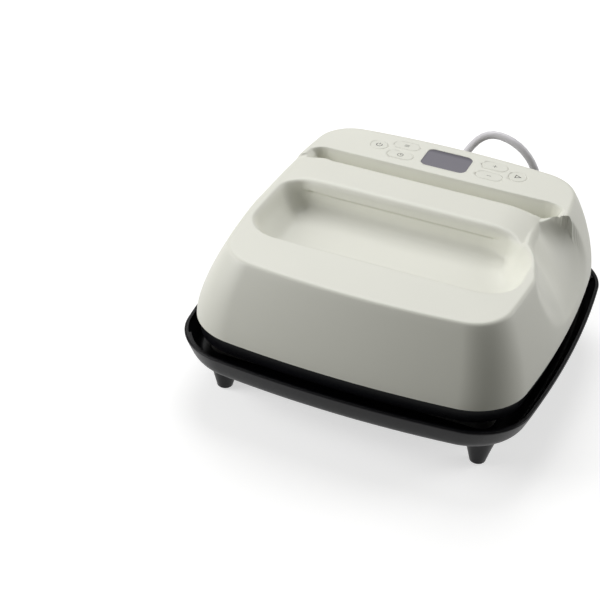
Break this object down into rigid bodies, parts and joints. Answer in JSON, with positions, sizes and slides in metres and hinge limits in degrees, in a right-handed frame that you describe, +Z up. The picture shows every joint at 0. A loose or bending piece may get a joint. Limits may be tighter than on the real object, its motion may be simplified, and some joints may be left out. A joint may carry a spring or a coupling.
{
  "type": "craft heat press",
  "caption": "Square household heat press with a recessed grip, touch keys and display, resting in a black four-footed safety tray, with a coiled mains cord.",
  "frame": {"origin": "on the table under the middle of the safety base", "axes": "+Z up, +Y towards the mains cord at the rear, +X to the right of the person who faces the keys"},
  "size_m": [0.2892, 0.4756, 0.1334],
  "materials": {
    "shell_plastic": "fine satin off-white moulding",
    "button_plastic": "satin off-white keys with dark printed signs",
    "black_plastic": "fine satin black heat-resistant moulding",
    "dark_plastic": "plain",
    "lens": "smoked clear window",
    "plate_aluminium": "ceramic-coated working face",
    "element_steel": "plain",
    "shield_steel": "bright sheet",
    "screw_steel": "plated",
    "blade_metal": "plain",
    "ceramic": "steatite",
    "blanket": "needled glass fibre",
    "board": "solder mask",
    "pad_rubber": "silicone rubber",
    "cord_jacket": "light grey satin jacket"
  },
  "bodies": {
    "base": {"base_tray": "black_plastic", "foot_pads": "pad_rubber", "rest_pads": "pad_rubber", "cord": "cord_jacket", "cord_coil": "cord_jacket", "plug_body": "cord_jacket", "plug_blades": "blade_metal"},
    "press": {"upper_shell": "shell_plastic", "handle_body": "shell_plastic", "handle_cover": "shell_plastic", "handle_screws": "screw_steel", "display_lens": "lens", "display_module": "dark_plastic", "control_board": "board", "push_switches": "dark_plastic", "board_screws": "screw_steel", "buzzer": "dark_plastic", "skirt": "black_plastic", "shell_screws": "screw_steel", "heat_plate": "plate_aluminium", "heating_element": "element_steel", "plate_standoffs": "ceramic", "insulation_blanket": "blanket", "heat_shield": "shield_steel", "plate_screws": "screw_steel", "thermal_cutout": "dark_plastic", "temperature_sensor": "element_steel", "power_board": "board", "power_board_screws": "screw_steel", "relay": "dark_plastic", "strain_relief": "cord_jacket", "inner_lead": "cord_jacket"},
    "power_button": {"power_button": "button_plastic"},
    "temperature_button": {"temperature_button": "button_plastic"},
    "timer_button": {"timer_button": "button_plastic"},
    "plus_button": {"plus_button": "button_plastic"},
    "minus_button": {"minus_button": "button_plastic"},
    "start_button": {"start_button": "button_plastic"}
  },
  "joints": [
    {"name": "press_lift", "type": "slide", "parent": "base", "child": "press", "axis": [0, 0, 1], "range_m": [0, 0.1], "deforming": ["cord"]},
    {"name": "power_button_push", "type": "slide", "parent": "press", "child": "power_button", "axis": [0, -0.03, 0.9996], "range_m": [-0.0008, 0], "stiffness_N_per_m": 1200},
    {"name": "temperature_button_push", "type": "slide", "parent": "press", "child": "temperature_button", "axis": [0, -0.03, 0.9996], "range_m": [-0.0008, 0], "stiffness_N_per_m": 1200},
    {"name": "timer_button_push", "type": "slide", "parent": "press", "child": "timer_button", "axis": [0, -0.03, 0.9996], "range_m": [-0.0008, 0], "stiffness_N_per_m": 1200},
    {"name": "plus_button_push", "type": "slide", "parent": "press", "child": "plus_button", "axis": [0, -0.03, 0.9996], "range_m": [-0.0008, 0], "stiffness_N_per_m": 1200},
    {"name": "minus_button_push", "type": "slide", "parent": "press", "child": "minus_button", "axis": [0, -0.03, 0.9996], "range_m": [-0.0008, 0], "stiffness_N_per_m": 1200},
    {"name": "start_button_push", "type": "slide", "parent": "press", "child": "start_button", "axis": [0, -0.03, 0.9996], "range_m": [-0.0008, 0], "stiffness_N_per_m": 1200}
  ]
}
